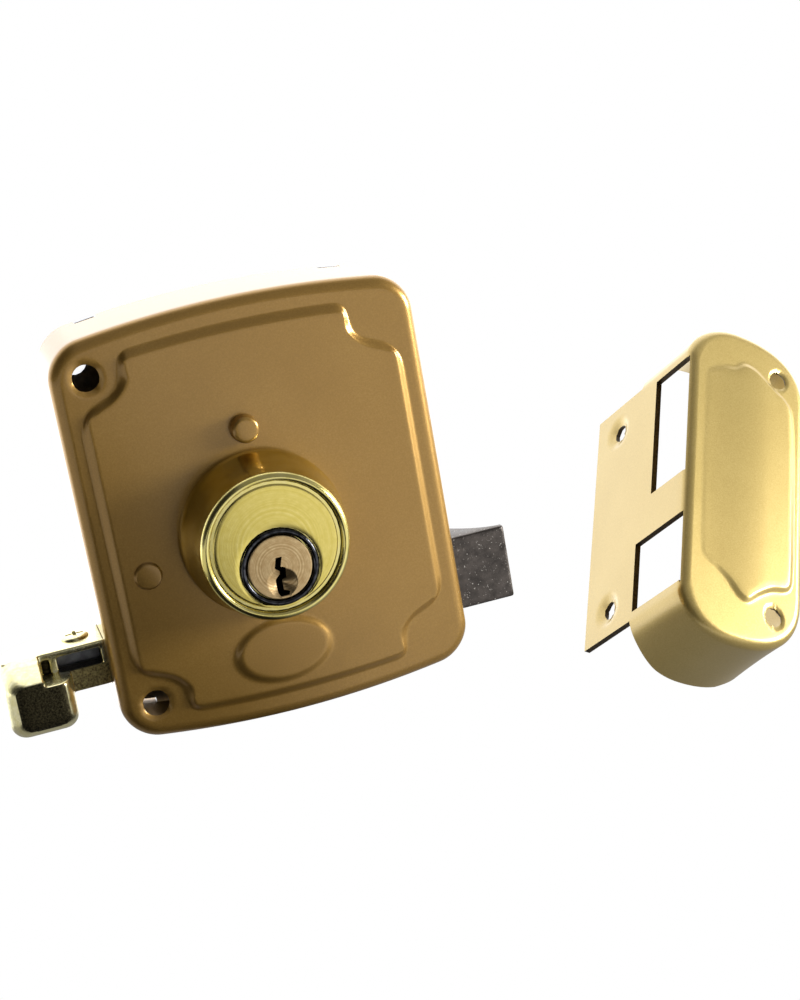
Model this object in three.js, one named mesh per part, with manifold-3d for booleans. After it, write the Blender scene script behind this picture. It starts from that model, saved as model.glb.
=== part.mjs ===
// Rim night latch: a pressed steel case with its cylinder, sprung latch, finger pull and
// deadbolt, and the pressed keeper that takes both bolts.
// Millimetres. X runs towards the keeper, Y into the door, Z up. The origin is the middle
// of the case on the door's face, which is the plane y = 0; the case stands out to -Y.
import * as THREE from 'three';
import { mergeVertices } from 'three/addons/utils/BufferGeometryUtils.js';
import Module from 'manifold-3d';

// ---- driving dimensions -------------------------------------------------------------
const CASE = { halfWidth: 37.2, crown: 43.9, shoulder: 40.6, depth: 22.2, wall: 1.2, corner: 7 };
const EDGE = 2.4; // rounding of the drawn front edge
const GAP = 0.3; // left between faces that touch
const PLATE = 1.5; // back plate's thickness
const PANEL = { height: 1.0, halfWidth: 32.9, crown: 38.9 };
const FIXING = { x: -30, z: 34.2, r: 2.7 };
const OVAL = { x: -2.3, z: -29.3, halfWidth: 9.7, halfHeight: 6.3, height: 0.6 };
const POSTS = { upper: { x: -1.7, z: 17.8, head: 2.6 }, lower: { x: -26.3, z: -7.3, head: 0.6 } };
const POST = { r: 3, neck: 2.1, hole: 2.4, headR: 2.7 };

const CYLINDER = { x: -2, z: -3.8, r: 13.1, front: -35.8, back: -9 };
const COLLAR = { baseR: 17, rimR: 14.7, boreR: 13.4, back: -23.5, front: -37 };
const PLUG = { x: -2, z: -8.2, r: 6.5, boreR: 6.55, front: -36.1, back: -8.9 };
const BEZEL = { inner: 6.75, outer: 7.9, front: -36.3, back: -34.6 };
const PINS = { count: 5, first: -31, pitch: 4.5, r: 1.4, chamberR: 1.55 };
const CRANK = { radius: 10, pinR: 1.8, hubR: 5.4, front: -8.6, back: -7.4 };
const CRANK_REST = 45; // degrees off the vertical, either side, at the ends of the throw
const CYLINDER_SCREW = { z: -6.5, r: 1.5 };
const CYLINDER_SCREWS = [CYLINDER.x - 9.5, CYLINDER.x + 9.5];

const LATCH = { low: -33.5, high: -17.6, front: -15, back: -3, tip: 50.2, tail: 18, tipDepth: 1.8 };
const LATCH_PIN = { x: 22, z: -25.25, r: 1.3 };
const BAR = { left: -54, right: 26, front: -10.4, back: -5.9, low: -28, high: -22.5 };
const PULL = { left: -58.4, right: -24.5, front: -15, back: -4, low: -30, high: -20.5, wall: 1.6 };
const KNOB = { right: -45, front: -23, back: -11.5, low: -36.2, corner: 2.8 };
const PULL_SLOTS = [[-50.4, -48.7], [-47.2, -38.2]];
const SLOT_LOW = -25.4;
const SCREW = { x: -42.3, y: -8.2, r: 1.25, headR: 2.8, head: 1.5 };
const SPRING = { left: -19.9, right: 17.6, r: 4.5, wire: 0.55, turns: 9 };
const DEADBOLT = { left: 12, right: 36.9, front: -18, back: -7.4, low: -4, high: 24.5 };
const SLIDER = { left: -22, right: 19.5, front: -7.1, back: -5.1, low: -4.4, high: 23.5 };
const THROW = 14.1;
const RIVET = { x: 15.8, z: [3, 18], r: 1.8 };
const FOREND = { x: 34.5, thickness: 1.2, halfHeight: 34.5, back: 20 };
const TABS = [-28, 23.6];
const TAB = { width: 4, clearance: 0.35 };

const KEEPER = { sheet: 1.4, depth: 22, flangeBack: 42, halfPlate: 31.7, crown: 41.3, width: 32.4 };
const KEEPER_WINDOWS = [
  { low: -0.9, high: 30.2, back: 15.4 },
  { low: -29.8, high: -12, back: 21.1 },
];
const KEEPER_FIXING = { y: 32.5, z: 24.5, r: 2.2 };
const KEEPER_BOX_FIXING = { x: 24.4, z: 31.7, r: 2.2 };
// The keeper's place when it faces the case, and the turn that lays it loose beside it.
const KEEPER_SQUARE = new THREE.Vector3(83.2, -22.2, -4.6);
const KEEPER_AXIS = new THREE.Vector3(-0.755, 0.614, 0.228).normalize();
const KEEPER_PIVOT = new THREE.Vector3(74.8, -16.3, -48.1);
const KEEPER_TURN = THREE.MathUtils.degToRad(49.5);

// ---- solids -------------------------------------------------------------------------
const wasm = await Module();
wasm.setup();

// The triangles of an index list that have three different corners.
function wholeTriangles(index) {
  const kept = [];
  for (let i = 0; i < index.length; i += 3) {
    const [a, b, c] = index.slice(i, i + 3);
    if (a !== b && b !== c && c !== a) kept.push(a, b, c);
  }
  return kept;
}

// A closed geometry as a solid, turned the right way out where its faces point in.
function solid(geometry) {
  const bare = geometry.clone();
  bare.deleteAttribute('normal');
  bare.deleteAttribute('uv');
  const merged = mergeVertices(bare, 1e-4);
  const vertProperties = new Float32Array(merged.attributes.position.array);
  const triVerts = new Uint32Array(wholeTriangles(merged.index.array));
  const body = new wasm.Manifold(new wasm.Mesh({ numProp: 3, vertProperties, triVerts }));
  if (body.volume() > 0) return body;
  for (let i = 0; i < triVerts.length; i += 3) triVerts.subarray(i, i + 3).reverse();
  return new wasm.Manifold(new wasm.Mesh({ numProp: 3, vertProperties, triVerts }));
}

const union = (first, ...rest) => rest.reduce((a, b) => a.add(b), first);
const cut = (first, ...rest) => rest.reduce((a, b) => a.subtract(b), first);

function box(x0, x1, y0, y1, z0, z1) {
  const g = new THREE.BoxGeometry(x1 - x0, y1 - y0, z1 - z0);
  return solid(g.translate((x0 + x1) / 2, (y0 + y1) / 2, (z0 + z1) / 2));
}

// A round rod of radius r about the line through (x, z) along Y.
function rodY(r, x, z, y0, y1, sides = 16) {
  const g = new THREE.CylinderGeometry(r, r, y1 - y0, sides);
  return solid(g.translate(x, (y0 + y1) / 2, z));
}

function rodZ(r, x, y, z0, z1, sides = 10) {
  const g = new THREE.CylinderGeometry(r, r, z1 - z0, sides).rotateX(Math.PI / 2);
  return solid(g.translate(x, y, (z0 + z1) / 2));
}

function rodX(r, y, z, x0, x1, sides = 20) {
  const g = new THREE.CylinderGeometry(r, r, x1 - x0, sides).rotateZ(Math.PI / 2);
  return solid(g.translate((x0 + x1) / 2, y, z));
}

// A profile of [radius, y] points turned about the line through (x, z) along Y.
function turnedY(profile, x, z, sides = 32) {
  const onAxis = profile[0][0] === 0;
  const closed = (onAxis ? profile : [...profile, profile[0]]).map(([r, y]) => new THREE.Vector2(r, y));
  return solid(new THREE.LatheGeometry(closed, sides).translate(x, 0, z));
}

// A profile of [radius, z] points, closed on the axis, turned about the line through (x, y) along Z.
function turnedZ(profile, x, y, sides = 16) {
  const points = profile.map(([r, z]) => new THREE.Vector2(r, z));
  return solid(new THREE.LatheGeometry(points, sides).rotateX(Math.PI / 2).translate(x, y, 0));
}

// A shape drawn in X and Z, carried from y0 to y1; round is the bevel of the front edge.
function slab(shape, y0, y1, round = 0) {
  const bevel = round > 0;
  const spare = bevel ? round + 1 : 0;
  const g = new THREE.ExtrudeGeometry(shape, {
    depth: y1 - y0 - round + spare,
    curveSegments: 4,
    bevelEnabled: bevel,
    bevelThickness: round,
    bevelSize: round,
    bevelOffset: -round,
    bevelSegments: 2,
  });
  g.rotateX(Math.PI / 2).translate(0, y1 + spare, 0);
  const body = solid(g);
  return bevel ? cut(body, box(-200, 200, y1, y1 + 60, -200, 200)) : body;
}

// A shape drawn in Y (first) and Z, carried along X.
function bar(shape, x0, x1) {
  const g = new THREE.ExtrudeGeometry(shape, { depth: x1 - x0, curveSegments: 3, bevelEnabled: false });
  const matrix = new THREE.Matrix4().set(0, 0, 1, x0, 1, 0, 0, 0, 0, 1, 0, 0, 0, 0, 0, 1);
  return solid(g.applyMatrix4(matrix));
}

// A shape drawn in X and Y, carried up Z.
function post(shape, z0, z1) {
  const g = new THREE.ExtrudeGeometry(shape, { depth: z1 - z0, curveSegments: 4, bevelEnabled: false });
  return solid(g.translate(0, 0, z0));
}

function roundedRect(x0, x1, y0, y1, r) {
  const s = new THREE.Shape();
  s.moveTo(x0 + r, y0);
  s.lineTo(x1 - r, y0);
  s.absarc(x1 - r, y0 + r, r, -Math.PI / 2, 0);
  s.lineTo(x1, y1 - r);
  s.absarc(x1 - r, y1 - r, r, 0, Math.PI / 2);
  s.lineTo(x0 + r, y1);
  s.absarc(x0 + r, y1 - r, r, Math.PI / 2, Math.PI);
  s.lineTo(x0, y0 + r);
  s.absarc(x0 + r, y0 + r, r, Math.PI, Math.PI * 1.5);
  return s;
}

// Four mirrored copies of a quarter outline that runs from the crown round to the side.
function mirrored(quarter) {
  const lower = [...quarter].reverse().map((p) => new THREE.Vector2(p.x, -p.y));
  const right = [...quarter, ...lower];
  const left = right.slice(1, -1).reverse().map((p) => new THREE.Vector2(-p.x, p.y));
  return new THREE.Shape([...right, ...left]);
}

// ---- outlines -----------------------------------------------------------------------
// Half a side less inset: straight sides, a crowned top and bottom, rounded corners.
function caseOutline(inset) {
  const side = CASE.halfWidth - inset;
  const top = CASE.crown - inset;
  const shoulder = CASE.shoulder - inset;
  const corner = CASE.corner - inset;
  const drop = top - shoulder;
  const along = side - corner;
  const rise = top - drop * (along / side) ** 2;
  const slope = (2 * drop * along) / side ** 2;
  const tip = rise - slope * corner;
  const quarter = new THREE.Path();
  quarter.moveTo(0, top);
  quarter.quadraticCurveTo(along / 2, top, along, rise);
  const pull = corner * 0.55;
  quarter.bezierCurveTo(along + pull, rise - slope * pull, side, tip - corner + pull, side, tip - corner);
  return mirrored(quarter.getPoints(5));
}

// The raised panel: crowned edges with an S-curved step at each corner.
function panelOutline(inset) {
  const side = PANEL.halfWidth - inset;
  const top = PANEL.crown - inset;
  const quarter = new THREE.Path();
  quarter.moveTo(0, top);
  quarter.quadraticCurveTo(10, top, 20.4, top - 0.9);
  quarter.bezierCurveTo(24.2, top - 1.2, 22.8 - inset, 35, 23.9 - inset, 32);
  quarter.bezierCurveTo(25, 29.4 - inset, 28, 29.2 - inset, 30, 28 - inset);
  quarter.bezierCurveTo(32, 26.8, side, 25, side, 22);
  return mirrored(quarter.getPoints(4));
}

// The keeper's box seen from the front: flat on the plate's side, domed on the far side.
function keeperOutline(inset) {
  const quarter = new THREE.Path();
  const crown = KEEPER.crown - inset;
  const side = KEEPER.width - inset;
  const low = KEEPER.halfPlate - inset;
  quarter.moveTo(inset, low);
  quarter.bezierCurveTo(inset + 1, low + 5, 6, crown, 13.5, crown);
  quarter.bezierCurveTo(25, crown, side, 36.5 - inset, side, 26);
  const points = quarter.getPoints(6);
  const under = [...points].reverse().map((p) => new THREE.Vector2(p.x, -p.y));
  return new THREE.Shape([...points, ...under]);
}

// ---- case ---------------------------------------------------------------------------
// The way a bolt leaves the case: its section with a little clearance, through the side wall.
function sideSlot({ front, back, low, high }, x0 = CASE.halfWidth - 3, x1 = CASE.halfWidth + 1) {
  const play = 0.4;
  return box(x0, x1, front - play, back + play, low - play, high + play);
}

function coverShell() {
  const inner = slab(caseOutline(CASE.wall), -CASE.depth + CASE.wall, 5, EDGE - CASE.wall);
  const ovalShape = new THREE.Shape();
  ovalShape.absellipse(OVAL.x, OVAL.z, OVAL.halfWidth, OVAL.halfHeight, 0, Math.PI * 2);
  const panelFront = -CASE.depth - PANEL.height;
  const skin = union(
    slab(caseOutline(0), -CASE.depth, 0, EDGE),
    slab(panelOutline(0), panelFront, -CASE.depth + 1, 0.8),
    slab(ovalShape, panelFront - OVAL.height, panelFront + 0.5, 0.5),
  );
  const hollow = union(inner, slab(panelOutline(1.2), panelFront + CASE.wall, -CASE.depth + 3));
  const fixings = [1, -1].map((s) => rodY(FIXING.r, FIXING.x, s * FIXING.z, -30, -15));
  const posts = Object.values(POSTS).map((p) => rodY(POST.hole, p.x, p.z, -30, -15));
  const { width, clearance } = TAB;
  const tabSlots = TABS.map((x) =>
    box(x - clearance, x + width + clearance, -PLATE - clearance, 1, -60, 60),
  );
  return cut(
    cut(skin, hollow),
    rodY(CYLINDER.r + 0.4, CYLINDER.x, CYLINDER.z, -30, -15, 32),
    sideSlot(LATCH),
    sideSlot(DEADBOLT),
    sideSlot(PULL, -40, -35),
    ...fixings,
    ...posts,
    ...tabSlots,
  );
}

// The plate that closes the back, with tabs that reach through the crowned walls.
function backPlate() {
  const outline = slab(caseOutline(CASE.wall + GAP), -PLATE, 0);
  const inside = cut(outline, box(FOREND.x - GAP, 60, -5, 5, -60, 60));
  const reach = slab(caseOutline(0.1), -PLATE, 0);
  const tabs = TABS.map((x) => box(x, x + TAB.width, -PLATE, 0, -60, 60).intersect(reach));
  const fixings = [1, -1].map((s) => rodY(FIXING.r, FIXING.x, s * FIXING.z, -5, 5));
  const screws = CYLINDER_SCREWS.map((x) => rodY(2, x, CYLINDER_SCREW.z, -5, 5));
  return cut(union(inside, ...tabs), ...fixings, ...screws, rodY(3.5, PLUG.x, PLUG.z, -5, 5));
}

// Bolt plate: lines the case's edge and runs on over the door's edge.
function forendPlate() {
  const x1 = FOREND.x + FOREND.thickness;
  const plate = box(FOREND.x, x1, -20.4, FOREND.back, -FOREND.halfHeight, FOREND.halfHeight);
  const windows = [LATCH, DEADBOLT].map((bolt) => sideSlot(bolt, FOREND.x - 1, x1 + 1));
  const holes = [24, -24].map((z) => rodX(2.2, 11, z, FOREND.x - 5, FOREND.x + 5));
  return cut(plate, ...windows, ...holes);
}

function rivetedPost({ x, z, head }) {
  const inner = -CASE.depth - PANEL.height + CASE.wall + GAP;
  const outer = -CASE.depth - PANEL.height - GAP;
  const profile = [
    [0, -PLATE - GAP],
    [POST.r, -PLATE - GAP],
    [POST.r, inner],
    [POST.neck, inner],
    [POST.neck, outer],
    [POST.headR, outer],
    [POST.headR, outer - head + 0.3],
    [POST.headR - 0.5, outer - head],
    [0, outer - head],
  ];
  return turnedY(profile, x, z, 14);
}

// ---- cylinder -----------------------------------------------------------------------
const chamberY = (i) => PINS.first + i * PINS.pitch;
const PIN_ROW = [chamberY(0), chamberY(PINS.count - 1)];

function pinHoles(z0, z1) {
  return Array.from({ length: PINS.count }, (_, i) => rodZ(PINS.chamberR, PLUG.x, chamberY(i), z0, z1));
}

function cylinderCollar() {
  const { baseR, rimR, boreR, back, front } = COLLAR;
  const profile = [
    [boreR, back],
    [baseR, back],
    [baseR, back - 1.6],
    [baseR - 0.7, back - 4],
    [rimR + 0.7, front + 2.2],
    [rimR + 0.1, front + 0.7],
    [rimR - 0.6, front],
    [boreR + 0.5, front],
    [boreR, front + 0.6],
  ];
  return turnedY(profile, CYLINDER.x, CYLINDER.z);
}

function cylinderBody() {
  const chambers = pinHoles(PLUG.z, 7.2);
  const screwHoles = CYLINDER_SCREWS.map((x) => rodY(CYLINDER_SCREW.r + 0.2, x, CYLINDER_SCREW.z, -20, -5));
  return cut(
    rodY(CYLINDER.r, CYLINDER.x, CYLINDER.z, CYLINDER.front, CYLINDER.back, 36),
    rodY(PLUG.boreR, PLUG.x, PLUG.z, -40, -5, 48),
    rodY(BEZEL.outer + 0.2, PLUG.x, PLUG.z, -40, BEZEL.back + GAP, 32),
    box(PLUG.x - 2.2, PLUG.x + 2.2, PIN_ROW[0] - 2.5, PIN_ROW[1] + 2.5, 7.1, 12),
    ...chambers,
    ...screwHoles,
  );
}

// Strip that closes the pin chambers above their springs.
function chamberCover() {
  return box(PLUG.x - 1.9, PLUG.x + 1.9, PIN_ROW[0] - 2.2, PIN_ROW[1] + 2.2, 7.4, 8.1);
}

function bezelRing() {
  const { inner, outer, front, back } = BEZEL;
  const profile = [
    [inner, back],
    [outer, back],
    [outer, front + 0.3],
    [outer - 0.3, front],
    [inner, front],
  ];
  return turnedY(profile, PLUG.x, PLUG.z);
}

// The keyed plug: a slot for the key, a dished mouth and the five pin holes.
function plugBody() {
  const dish = new THREE.CylinderGeometry(3.2, 1, 1.5, 20).rotateX(Math.PI);
  dish.translate(PLUG.x, PLUG.front + 0.7, PLUG.z - 3.1);
  return cut(
    rodY(PLUG.r, PLUG.x, PLUG.z, PLUG.front, PLUG.back, 48),
    box(PLUG.x - 0.9, PLUG.x + 0.9, -40, -11, PLUG.z - 6.7, PLUG.z + 2.4),
    solid(dish),
    ...pinHoles(PLUG.z + 1, PLUG.z + 8),
  );
}

// A pin turned to a blunt cone at its lower end.
function pin(z0, z1, i) {
  const profile = [
    [0, z0],
    [0.5, z0],
    [PINS.r, z0 + 0.8],
    [PINS.r, z1],
    [0, z1],
  ];
  return turnedZ(profile, PLUG.x, chamberY(i), 10);
}

// A round wire wound about the line through (0, 0) along Z from 0 to length.
function coil(radius, wire, length, turns, steps) {
  class Helix extends THREE.Curve {
    getPoint(t, target = new THREE.Vector3()) {
      const angle = t * turns * Math.PI * 2;
      return target.set(radius * Math.cos(angle), radius * Math.sin(angle), wire + t * (length - 2 * wire));
    }
  }
  const section = new THREE.Shape();
  section.absarc(0, 0, wire, 0, Math.PI * 2);
  return new THREE.ExtrudeGeometry(section, {
    steps: turns * steps,
    curveSegments: 2,
    extrudePath: new Helix(),
    bevelEnabled: false,
  });
}

function crank() {
  const { radius, pinR, hubR, front, back } = CRANK;
  const upright = union(
    rodY(hubR, 0, 0, front, back, 20),
    box(-2.5, 2.5, front, back, 0, radius),
    rodY(2.5, 0, radius, front, back),
    rodY(pinR, 0, radius, front, SLIDER.back + 0.4),
  );
  return upright.rotate([0, -CRANK_REST, 0]).translate([PLUG.x, 0, PLUG.z]);
}

// ---- latch --------------------------------------------------------------------------
// The way through a piece that the latch bar fills, with the gap round it.
function barWay(x0, x1) {
  return box(x0, x1, BAR.front - GAP, BAR.back + GAP, BAR.low - GAP, BAR.high + GAP);
}

// Bolt head seen from above: full depth inside, scooped away at the back towards a thin tip.
function latchBolt() {
  const { tip, tail, front, back, low, high, tipDepth } = LATCH;
  const s = new THREE.Shape();
  s.moveTo(tail, back);
  s.lineTo(tail, front);
  s.lineTo(tip - 0.8, front);
  s.lineTo(tip, front + 0.8);
  s.lineTo(tip, front + tipDepth);
  s.bezierCurveTo(tip - 6, front + tipDepth + 0.6, CASE.halfWidth + 3, back - 4, CASE.halfWidth, back);
  const pinHole = rodY(LATCH_PIN.r + GAP, LATCH_PIN.x, LATCH_PIN.z, -20, 5);
  return cut(post(s, low, high), barWay(tail - 1, BAR.right + GAP), pinHole);
}

function latchBar() {
  const blank = box(BAR.left, BAR.right, BAR.front, BAR.back, BAR.low, BAR.high);
  const pinHole = rodY(LATCH_PIN.r + GAP, LATCH_PIN.x, LATCH_PIN.z, -20, 5);
  return cut(blank, pinHole, rodZ(SCREW.r + 0.25, SCREW.x, SCREW.y, -40, 0));
}

// Finger pull: a cast bar with a slot in its front, ending in a deeper, lower knob.
function pullHandle() {
  const { left, right, front, back, low, high } = PULL;
  const plan = post(roundedRect(left, right, front - 10, back, KNOB.corner), KNOB.low, high);
  const stem = bar(roundedRect(front, back, low, high, 0.8), left, right).intersect(plan);
  const knobPlan = post(roundedRect(left, KNOB.right, KNOB.front, KNOB.back, KNOB.corner), KNOB.low, high);
  const knob = bar(roundedRect(KNOB.front, KNOB.back, KNOB.low, high, KNOB.corner), left, KNOB.right);
  const slots = PULL_SLOTS.map(([x0, x1]) =>
    box(x0, x1, front - 1, BAR.back + GAP, SLOT_LOW, high - PULL.wall),
  );
  const recess = box(...PULL_SLOTS[1], front - 1, front + 0.8, low + 0.8, SLOT_LOW + 0.1);
  return cut(
    union(stem, knob.intersect(knobPlan)),
    ...slots,
    recess,
    barWay(BAR.left - GAP, right + 1),
    rodZ(SCREW.r + 0.25, SCREW.x, SCREW.y, low - 1, high + 1),
  );
}

function pullScrew() {
  const { x, y, r, headR, head } = SCREW;
  const z0 = PULL.high + GAP;
  const cross = (a, b) => box(x - a, x + a, y - b, y + b, z0 + head - 0.8, z0 + head + 1);
  const dome = [
    [0, z0],
    [headR, z0],
    [headR, z0 + 0.6],
    [headR * 0.75, z0 + head - 0.2],
    [0, z0 + head],
  ];
  const screw = union(turnedZ(dome, x, y), rodZ(r, x, y, PULL.low + 0.4, z0 + 0.2));
  return cut(screw, cross(1.6, 0.35), cross(0.35, 1.6));
}

// A bracket standing on the back plate with an eye that the latch bar runs through.
function barBracket(x0, x1) {
  return cut(
    box(x0, x1, -14.4, -PLATE - GAP, -32, -18.4),
    barWay(x0 - 1, x1 + 1),
  );
}

// ---- deadbolt -----------------------------------------------------------------------
const rivetHoles = () => RIVET.z.map((z) => rodY(RIVET.r + 0.2, RIVET.x, z, -12, 0));

function deadbolt() {
  const { left, right, front, back, low, high } = DEADBOLT;
  const blank = post(roundedRect(left, right, front, back, 0.8), low, high);
  return cut(blank, ...rivetHoles());
}

// Sliding plate: carries the deadbolt, rides on the upper post and takes the crank's pin.
function boltSlider() {
  const { left, right, front, back, low, high } = SLIDER;
  const sweep = CRANK.radius * Math.SQRT1_2;
  const pinX = PLUG.x - sweep;
  const pinLow = PLUG.z + sweep;
  const wide = CRANK.pinR + 0.4;
  const end = CRANK.pinR + 0.6;
  const half = POST.r + 0.4;
  const { x, z } = POSTS.upper;
  return cut(
    box(left, right, front, back, low, high),
    box(pinX - wide, pinX + wide, -10, 0, pinLow - end, PLUG.z + CRANK.radius + end),
    box(x - THROW - half - 0.6, x + half, -10, 0, z - half, z + half),
    ...rivetHoles(),
  );
}

function boltRivet(z) {
  const head = SLIDER.back + GAP;
  return union(rodY(RIVET.r, RIVET.x, z, -11.6, head), rodY(2.8, RIVET.x, z, head, head + 1.2));
}

function cylinderScrew(x) {
  const { z, r } = CYLINDER_SCREW;
  const profile = [
    [0, -17],
    [r, -17],
    [r, -PLATE - GAP],
    [1.8, -PLATE - GAP],
    [1.8, -0.2],
    [0, -0.2],
  ];
  return turnedY(profile, x, z, 16);
}

// ---- keeper -------------------------------------------------------------------------
// One pressed sheet: a domed box, open at the back, whose windowed side runs on as a flange.
function keeper() {
  const { sheet, depth, flangeBack, halfPlate } = KEEPER;
  const shell = cut(slab(keeperOutline(0), 0, depth, 2.2), slab(keeperOutline(sheet), sheet, depth + 5, 1));
  const flange = box(0, sheet, depth - 6, flangeBack, -halfPlate, halfPlate);
  const windows = KEEPER_WINDOWS.map(({ low, high, back }) => box(-1, sheet + 2, 1.2, back, low, high));
  const side = [1, -1].map((s) => rodX(KEEPER_FIXING.r, KEEPER_FIXING.y, s * KEEPER_FIXING.z, -4, 4));
  const { r, x, z } = KEEPER_BOX_FIXING;
  const front = [1, -1].map((s) => rodY(r, x, s * z, -5, 5, 20));
  const panel = slab(roundedRect(5.5, KEEPER.width - 4.2, -25.5, 25.5, 5), -0.8, 1, 0.6);
  return cut(union(shell, flange, panel), ...windows, ...side, ...front);
}

// ---- assembly -----------------------------------------------------------------------
const FINISH = {
  paint: { color: 0x9b7d41, roughness: 0.4, metalness: 0.6 },
  brass: { color: 0xc8b45a, roughness: 0.18, metalness: 1 },
  plugBrass: { color: 0xa0825f, roughness: 0.35, metalness: 1 },
  gilt: { color: 0xe6dc96, roughness: 0.2, metalness: 1 },
  steel: { color: 0x8c8c8c, roughness: 0.4, metalness: 1 },
  darkSteel: { color: 0x3c3a38, roughness: 0.35, metalness: 1 },
  casting: { color: 0x46413e, roughness: 0.55, metalness: 0.9 },
};

const group = new THREE.Group();

function add(name, body, finish, parent = group) {
  const { vertProperties, triVerts } = body.getMesh();
  const g = new THREE.BufferGeometry();
  g.setAttribute('position', new THREE.BufferAttribute(vertProperties, 3));
  g.setIndex(new THREE.BufferAttribute(triVerts, 1));
  const mesh = new THREE.Mesh(g, new THREE.MeshStandardMaterial(FINISH[finish]));
  mesh.name = name;
  parent.add(mesh);
  return mesh;
}

add('cover_shell', coverShell(), 'paint');
add('back_plate', backPlate(), 'steel');
add('forend_plate', forendPlate(), 'paint');
add('upper_post', rivetedPost(POSTS.upper), 'paint');
add('lower_post', rivetedPost(POSTS.lower), 'paint');

add('cylinder_collar', cylinderCollar(), 'brass');
add('cylinder_body', cylinderBody(), 'brass');
add('bezel_ring', bezelRing(), 'darkSteel');
add('cylinder_plug', plugBody(), 'plugBrass');
for (let i = 0; i < PINS.count; i += 1) {
  const keyCut = [0.4, 1.1, 0.2, 0.9, 0.5][i];
  add(`key_pin_${i + 1}`, pin(PLUG.z + 1.2 + keyCut, PLUG.z + 6.2, i), 'brass');
  add(`driver_pin_${i + 1}`, pin(PLUG.z + 6.65, PLUG.z + 9.6, i), 'steel');
  const spring = add(`pin_spring_${i + 1}`, solid(coil(1.05, 0.22, 5.2, 3, 7)), 'steel');
  spring.position.set(PLUG.x, chamberY(i), PLUG.z + 9.8);
}
add('chamber_cover', chamberCover(), 'brass');
add('cylinder_screw_left', cylinderScrew(CYLINDER_SCREWS[0]), 'steel');
add('cylinder_screw_right', cylinderScrew(CYLINDER_SCREWS[1]), 'steel');

add('latch_bolt', latchBolt(), 'casting');
add('latch_bar', latchBar(), 'steel');
add('latch_pin', rodY(LATCH_PIN.r, LATCH_PIN.x, LATCH_PIN.z, -14.6, -3.4), 'steel');
add('pull_handle', pullHandle(), 'gilt');
add('pull_screw', pullScrew(), 'gilt');
add('bar_bracket', barBracket(-22, -20.3), 'steel');
const latchSpring = add(
  'latch_spring',
  solid(coil(SPRING.r, SPRING.wire, SPRING.right - SPRING.left, SPRING.turns, 8)),
  'steel',
);
latchSpring.rotation.set(0, Math.PI / 2, 0);
latchSpring.position.set(SPRING.left, (BAR.front + BAR.back) / 2, (BAR.low + BAR.high) / 2);

add('deadbolt', deadbolt(), 'casting');
add('bolt_slider', boltSlider(), 'steel');
RIVET.z.forEach((z, i) => add(`bolt_rivet_${i + 1}`, boltRivet(z), 'steel'));
add('plug_crank', crank(), 'steel');

const looseKeeper = new THREE.Group();
const turn = new THREE.Quaternion().setFromAxisAngle(KEEPER_AXIS, KEEPER_TURN);
looseKeeper.quaternion.copy(turn);
looseKeeper.position.copy(KEEPER_SQUARE).sub(KEEPER_PIVOT).applyQuaternion(turn).add(KEEPER_PIVOT);
add('keeper', keeper(), 'paint', looseKeeper);
group.add(looseKeeper);

export default group;
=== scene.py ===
"""Rim night latch: pressed case with its cylinder, latch and finger pull, and the loose keeper.

Shapes are in millimetres until put() scales them. X runs towards the keeper, Y into the door
and Z up; the origin is the middle of the case on the door's face, and the case stands out to -Y.
"""

import math

import bpy
import numpy as np
from mathutils import Matrix, Vector


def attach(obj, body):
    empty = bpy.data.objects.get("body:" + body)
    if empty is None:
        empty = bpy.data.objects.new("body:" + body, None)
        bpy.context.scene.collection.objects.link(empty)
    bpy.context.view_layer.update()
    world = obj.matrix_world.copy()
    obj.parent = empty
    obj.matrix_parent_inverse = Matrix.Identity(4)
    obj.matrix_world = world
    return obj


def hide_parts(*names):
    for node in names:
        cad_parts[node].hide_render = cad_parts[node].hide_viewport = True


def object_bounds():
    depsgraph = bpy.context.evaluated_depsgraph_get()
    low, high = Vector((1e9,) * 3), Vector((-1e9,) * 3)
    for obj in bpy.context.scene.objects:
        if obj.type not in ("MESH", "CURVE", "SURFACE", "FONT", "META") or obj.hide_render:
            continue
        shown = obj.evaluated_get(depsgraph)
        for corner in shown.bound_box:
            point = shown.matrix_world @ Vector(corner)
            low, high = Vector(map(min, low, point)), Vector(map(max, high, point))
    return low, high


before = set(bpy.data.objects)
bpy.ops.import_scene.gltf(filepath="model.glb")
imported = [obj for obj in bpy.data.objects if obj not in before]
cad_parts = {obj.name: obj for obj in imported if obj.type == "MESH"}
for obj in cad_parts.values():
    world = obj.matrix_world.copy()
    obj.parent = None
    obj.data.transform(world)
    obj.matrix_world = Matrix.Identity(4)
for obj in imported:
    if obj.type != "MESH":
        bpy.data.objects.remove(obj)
cad_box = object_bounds()

MM = 0.001
TAU = 2 * math.pi

# ---- driving dimensions, in mm ---------------------------------------------------------
CASE = dict(side=37.2, crown=43.9, drop=3.3, corner=7.0, front=-22.2, edge=2.4, wall=1.2)
PANEL = dict(side=32.9, crown=38.9, front=-23.2, step=2.0)
OVAL = dict(x=-2.3, z=-29.3, width=9.7, height=6.3, rise=0.6, roll=1.3)
# Holes in the case's front as x, z and radius; posts as x, z and how far the head stands out.
FIXINGS = [(-30.0, 34.2, 2.7), (-30.0, -34.2, 2.7)]
POSTS = [(-1.7, 17.8, 2.6), (-26.3, -7.3, 0.6)]
POST_HOLE = 2.4
# The axes of the cylinder and of its plug as x and z, the hole in the case and the plug's face.
CYLINDER = (-2.0, -3.8)
CYLINDER_HOLE = 13.6
PLUG = (-2.0, -8.2)
PLUG_FRONT = -36.1
PLUG_RADIUS = 6.5
LATCH = dict(front=-15.0, back=-3.0, low=-33.5, high=-17.6, tail=18.0, tip=50.2)
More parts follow.
